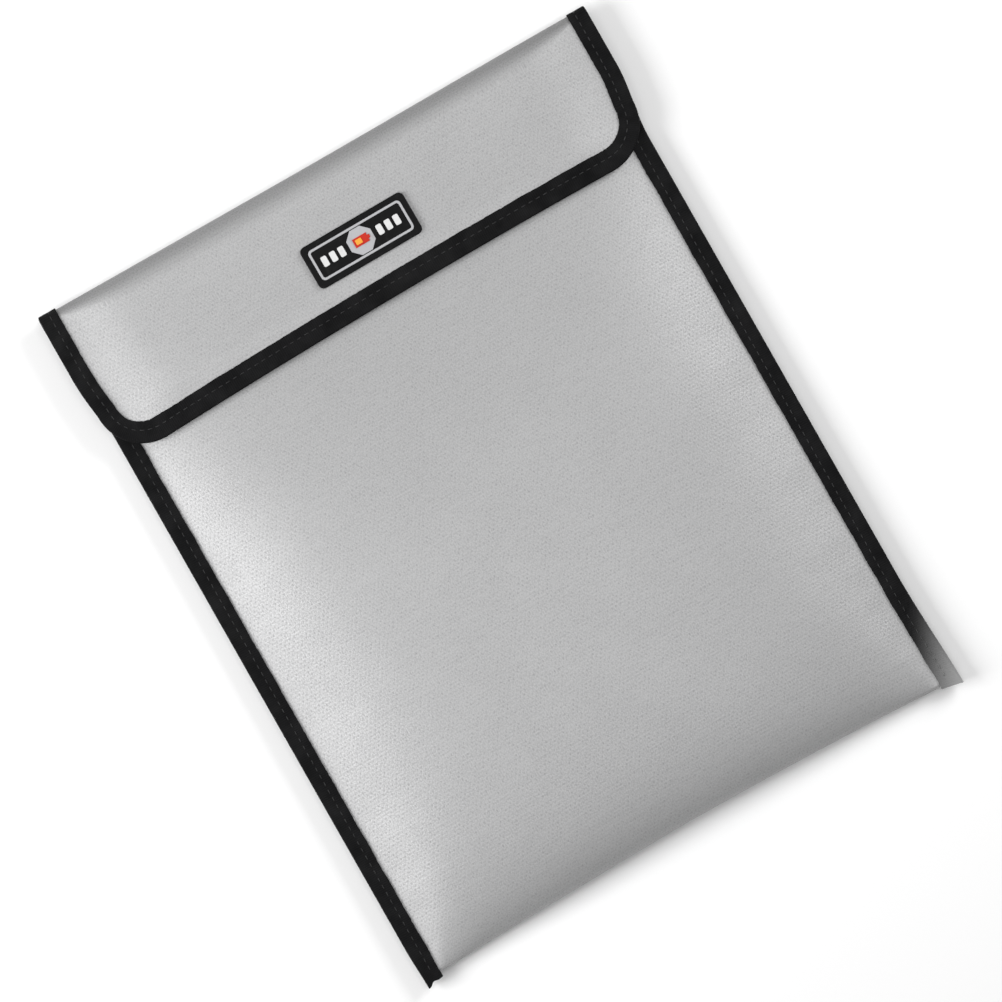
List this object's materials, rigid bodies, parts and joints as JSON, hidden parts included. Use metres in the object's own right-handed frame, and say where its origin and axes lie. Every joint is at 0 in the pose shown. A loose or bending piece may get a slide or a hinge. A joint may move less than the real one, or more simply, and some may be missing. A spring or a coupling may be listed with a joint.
{
  "type": "fire-resistant battery bag",
  "caption": "Flat envelope bag of coated cloth with tape-bound sides and a hook-and-loop flap that folds open about its top edge.",
  "frame": {"origin": "under the middle of the bag, on the surface that its back lies on", "axes": "+Z out of the front, +Y from the bottom fold towards the top fold, +X to the right as the front is seen with the flap at the top"},
  "size_m": [0.241, 0.2969, 0.024],
  "materials": {
    "coated_glass_cloth": "aluminium-grey coated woven glass cloth, soft sheen",
    "lining_cloth": "plain woven glass cloth, matte",
    "binding_tape": "black folded webbing, matte",
    "sewing_thread": "black twisted thread",
    "hook_and_loop": "black hook-and-loop tape, matte",
    "black_rubber": "moulded soft rubber, satin",
    "grey_rubber": "moulded soft rubber, satin",
    "white_rubber": "moulded soft rubber, satin",
    "red_rubber": "moulded soft rubber, satin"
  },
  "bodies": {
    "pocket": {"front_panel": "coated_glass_cloth", "front_lining": "lining_cloth", "back_panel": "coated_glass_cloth", "back_lining": "lining_cloth", "side_binding_left": "binding_tape", "side_binding_right": "binding_tape", "mouth_binding": "binding_tape", "loop_strip": "hook_and_loop", "side_thread_left": "sewing_thread", "side_thread_right": "sewing_thread", "side_bobbin_thread_left": "sewing_thread", "side_bobbin_thread_right": "sewing_thread", "mouth_thread": "sewing_thread", "loop_strip_thread": "sewing_thread"},
    "top_fold": {"fold_panel": "coated_glass_cloth", "fold_lining": "lining_cloth", "fold_binding_left": "binding_tape", "fold_binding_right": "binding_tape", "fold_thread_left": "sewing_thread", "fold_thread_right": "sewing_thread"},
    "flap": {"flap_panel": "coated_glass_cloth", "flap_lining": "lining_cloth", "flap_binding": "binding_tape", "flap_thread": "sewing_thread", "hook_strip": "hook_and_loop", "hook_strip_thread": "sewing_thread", "label_base": "black_rubber", "label_frame": "grey_rubber", "label_emblem": "grey_rubber", "label_cell": "red_rubber", "label_mark_left_1": "white_rubber", "label_mark_left_2": "white_rubber", "label_mark_left_3": "white_rubber", "label_mark_right_1": "white_rubber", "label_mark_right_2": "white_rubber", "label_mark_right_3": "white_rubber"}
  },
  "joints": [
    {"name": "fold_hinge", "type": "hinge", "parent": "pocket", "child": "top_fold", "pos_m": [0, 0.14511, 0.00189], "axis": [-1, 0, 0], "range_deg": [0, 84]},
    {"name": "flap_hinge", "type": "hinge", "parent": "top_fold", "child": "flap", "pos_m": [0, 0.14511, 0.01411], "axis": [-1, 0, 0], "range_deg": [0, 84]}
  ],
  "couplings": [
    {"joint": "flap_hinge", "follows": "fold_hinge", "ratio": 1}
  ]
}
